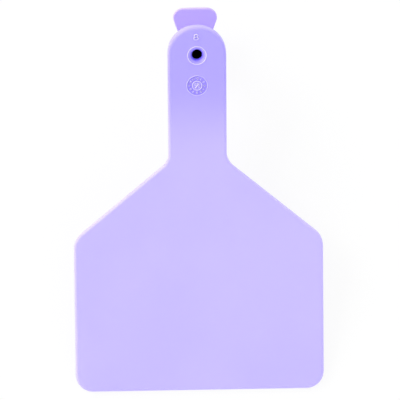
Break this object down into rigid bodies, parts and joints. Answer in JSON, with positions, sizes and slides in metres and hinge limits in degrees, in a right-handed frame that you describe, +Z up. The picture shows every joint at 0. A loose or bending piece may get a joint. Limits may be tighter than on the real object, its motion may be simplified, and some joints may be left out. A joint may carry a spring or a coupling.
{
  "type": "livestock ear tag",
  "caption": "One-piece flexible cattle ear tag: a broad writing panel on a neck, with a hollow stud, two locking wings and a hard piercing point.",
  "frame": {"origin": "middle of the bounding box, on the ground that the piercing point and the panel's lower edge rest on", "axes": "+X across the tag, +Y from the panel towards the round end of the neck, +Z up, out of the front face"},
  "size_m": [0.0762, 0.117, 0.0298],
  "materials": {
    "tag_polyurethane": "satin moulded lavender polyurethane",
    "insert_black": "smooth hard black plastic"
  },
  "bodies": {
    "root": {"tag_moulding": "tag_polyurethane", "piercing_insert": "insert_black"}
  },
  "joints": []
}
